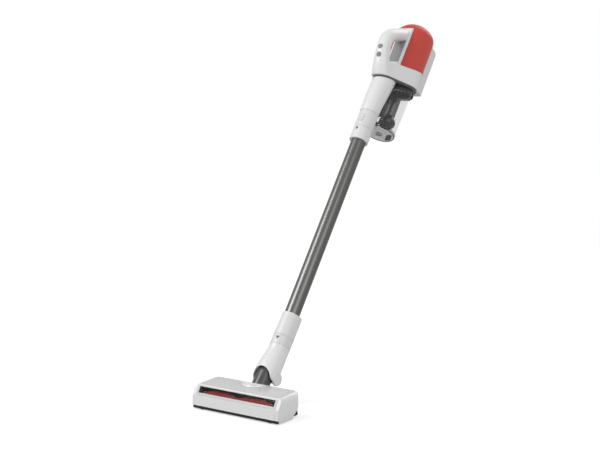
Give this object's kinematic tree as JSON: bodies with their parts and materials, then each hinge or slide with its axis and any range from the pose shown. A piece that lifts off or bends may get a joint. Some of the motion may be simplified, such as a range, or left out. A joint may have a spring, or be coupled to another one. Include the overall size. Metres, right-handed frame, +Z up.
{
  "type": "cordless stick vacuum",
  "caption": "Cordless stick vacuum with a loop handle, battery, clear cyclone bin, straight wand, tilting neck and a motorised brush floor head; parts pull off, hinge and turn.",
  "frame": {"origin": "middle of the hand grip, on the grip's axis and on the cleaner's middle plane", "axes": "+Z up, the floor head's front looks along -Y, +X is the cleaner's own left side; the stick leans back 36 degrees towards +Y"},
  "size_m": [0.25, 0.8483, 0.9054],
  "materials": {
    "shell_white": "satin",
    "collar_white": "satin",
    "band_light": "satin",
    "gasket_grey": "matte",
    "collar_dark": "satin",
    "cover_red": "matte",
    "battery_grey": "satin",
    "panel_grey": "satin",
    "button_grey": "satin",
    "tube_metal": "satin anodised",
    "liner_black": "matte",
    "duct_dark": "satin",
    "lid_clear": "smoked",
    "cup_clear": "clear",
    "window_smoked": "smoked",
    "frame_silver": "satin",
    "shroud_steel": "brushed",
    "bell_dark": "satin",
    "pin_steel": "turned",
    "motor_metal": "satin",
    "rotor_plastic": "satin",
    "filter_pleats": "pleated",
    "brush_red": "satin",
    "bristle_red": "tufted",
    "belt_rubber": "matte",
    "wheel_rubber": "matte"
  },
  "bodies": {
    "main_unit": {"main_shell": "shell_white", "wand_socket": "collar_white", "socket_band": "band_light", "inlet_sleeve": "shell_white", "gasket_ring": "gasket_grey", "spine_panel": "panel_grey", "motor_can": "motor_metal"},
    "fan": {"fan_rotor": "rotor_plastic"},
    "power_button": {"power_button": "button_grey"},
    "mode_button": {"mode_button": "button_grey"},
    "wand_release": {"wand_release": "button_grey"},
    "filter_cover": {"filter_cover": "cover_red", "filter_frame": "liner_black", "filter_core": "filter_pleats", "cover_catch": "duct_dark"},
    "battery": {"battery_pack": "battery_grey"},
    "battery_latch": {"battery_latch": "duct_dark"},
    "dust_bin": {"bin_cup": "cup_clear", "bin_collar": "collar_dark", "cyclone_shroud": "shroud_steel", "cyclone_bell": "bell_dark", "inlet_chute": "collar_dark", "lid_pin": "pin_steel"},
    "bin_lid": {"bin_lid": "lid_clear", "lid_knob": "lid_clear"},
    "bin_latch": {"bin_latch": "duct_dark"},
    "wand": {"wand_tube": "tube_metal", "wand_liner_low": "liner_black", "wand_liner_high": "liner_black"},
    "neck": {"neck_collar": "collar_white", "neck_band": "band_light", "neck_boot": "shell_white"},
    "neck_button": {"neck_button": "button_grey"},
    "elbow": {"elbow_duct": "duct_dark", "hinge_pin": "pin_steel"},
    "head": {"head_cover": "shell_white", "end_cap_left": "shell_white", "sole_plate": "duct_dark", "window_pane": "window_smoked", "window_frame": "frame_silver", "brush_chamber": "duct_dark", "head_motor": "motor_metal", "drive_belt": "belt_rubber"},
    "end_cap_right": {"end_cap_right": "shell_white"},
    "brush_roll": {"brush_core": "brush_red", "brush_bristles": "bristle_red"},
    "motor_pulley": {"motor_pulley": "rotor_plastic"},
    "rear_wheel_left": {"rear_wheel_left": "wheel_rubber"},
    "rear_wheel_right": {"rear_wheel_right": "wheel_rubber"},
    "front_roller_left": {"front_roller_left": "wheel_rubber"},
    "front_roller_right": {"front_roller_right": "wheel_rubber"},
    "cap_slider": {"cap_slider": "duct_dark"}
  },
  "joints": [
    {"name": "wand_pull", "type": "slide", "parent": "main_unit", "child": "wand", "axis": [0, -0.5878, -0.809], "range_m": [0, 0.04]},
    {"name": "neck_pull", "type": "slide", "parent": "wand", "child": "neck", "axis": [0, -0.5878, -0.809], "range_m": [0, 0.038]},
    {"name": "neck_tilt", "type": "hinge", "parent": "neck", "child": "elbow", "pos_m": [0, -0.51101, -0.78075], "axis": [1, 0, 0], "range_deg": [-36, 50]},
    {"name": "head_swivel", "type": "hinge", "parent": "elbow", "child": "head", "pos_m": [0, -0.55158, -0.80602], "axis": [0, 0.673, 0.7396], "range_deg": [-25, 25]},
    {"name": "brush_spin", "type": "hinge", "parent": "head", "child": "brush_roll", "pos_m": [0, -0.60971, -0.82075], "axis": [1, 0, 0], "continuous": true},
    {"name": "motor_pulley_spin", "type": "hinge", "parent": "head", "child": "motor_pulley", "pos_m": [0, -0.57071, -0.81525], "axis": [1, 0, 0], "continuous": true},
    {"name": "rear_wheel_left_spin", "type": "hinge", "parent": "head", "child": "rear_wheel_left", "pos_m": [-0.104, -0.56021, -0.83425], "axis": [1, 0, 0], "continuous": true},
    {"name": "rear_wheel_right_spin", "type": "hinge", "parent": "head", "child": "rear_wheel_right", "pos_m": [0.104, -0.56021, -0.83425], "axis": [1, 0, 0], "continuous": true},
    {"name": "front_roller_left_spin", "type": "hinge", "parent": "head", "child": "front_roller_left", "pos_m": [-0.099, -0.63281, -0.84125], "axis": [1, 0, 0], "continuous": true},
    {"name": "front_roller_right_spin", "type": "hinge", "parent": "head", "child": "front_roller_right", "pos_m": [0.099, -0.63281, -0.84125], "axis": [1, 0, 0], "continuous": true},
    {"name": "end_cap_pull", "type": "slide", "parent": "head", "child": "end_cap_right", "axis": [1, 0, 0], "range_m": [0, 0.03]},
    {"name": "cap_slider_slide", "type": "slide", "parent": "head", "child": "cap_slider", "axis": [1, 0, 0], "range_m": [0, 0.005], "stiffness_N_per_m": 400},
    {"name": "fan_spin", "type": "hinge", "parent": "main_unit", "child": "fan", "pos_m": [0, 0.08051, -0.08569], "axis": [0, 0.5878, 0.809], "continuous": true},
    {"name": "power_button_press", "type": "slide", "parent": "main_unit", "child": "power_button", "axis": [0, 0.9367, -0.3502], "range_m": [0, 0.0015], "stiffness_N_per_m": 400},
    {"name": "mode_button_press", "type": "slide", "parent": "main_unit", "child": "mode_button", "axis": [0, 0.9367, -0.3502], "range_m": [0, 0.0015], "stiffness_N_per_m": 400},
    {"name": "wand_release_press", "type": "slide", "parent": "main_unit", "child": "wand_release", "axis": [0, 0.809, -0.5878], "range_m": [0, 0.002], "stiffness_N_per_m": 400},
    {"name": "filter_cover_lift", "type": "slide", "parent": "main_unit", "child": "filter_cover", "axis": [0, 0.5878, 0.809], "range_m": [0, 0.12]},
    {"name": "battery_lift", "type": "slide", "parent": "main_unit", "child": "battery", "axis": [0, 0.5878, 0.809], "range_m": [0, 0.06]},
    {"name": "battery_latch_press", "type": "slide", "parent": "battery", "child": "battery_latch", "axis": [0, -0.809, 0.5878], "range_m": [0, 0.002], "stiffness_N_per_m": 400},
    {"name": "bin_pull", "type": "slide", "parent": "main_unit", "child": "dust_bin", "axis": [0, -0.5878, -0.809], "range_m": [0, 0.12]},
    {"name": "bin_lid_drop", "type": "hinge", "parent": "dust_bin", "child": "bin_lid", "pos_m": [0, -0.05413, -0.19886], "axis": [-1, 0, 0], "range_deg": [0, 85]},
    {"name": "bin_latch_slide", "type": "slide", "parent": "dust_bin", "child": "bin_latch", "axis": [0, -0.5878, -0.809], "range_m": [0, 0.002], "stiffness_N_per_m": 400},
    {"name": "neck_button_press", "type": "slide", "parent": "neck", "child": "neck_button", "axis": [0, -0.809, 0.5878], "range_m": [0, 0.002], "stiffness_N_per_m": 400}
  ],
  "couplings": [
    {"joint": "motor_pulley_spin", "follows": "brush_spin", "ratio": 1.8333}
  ]
}
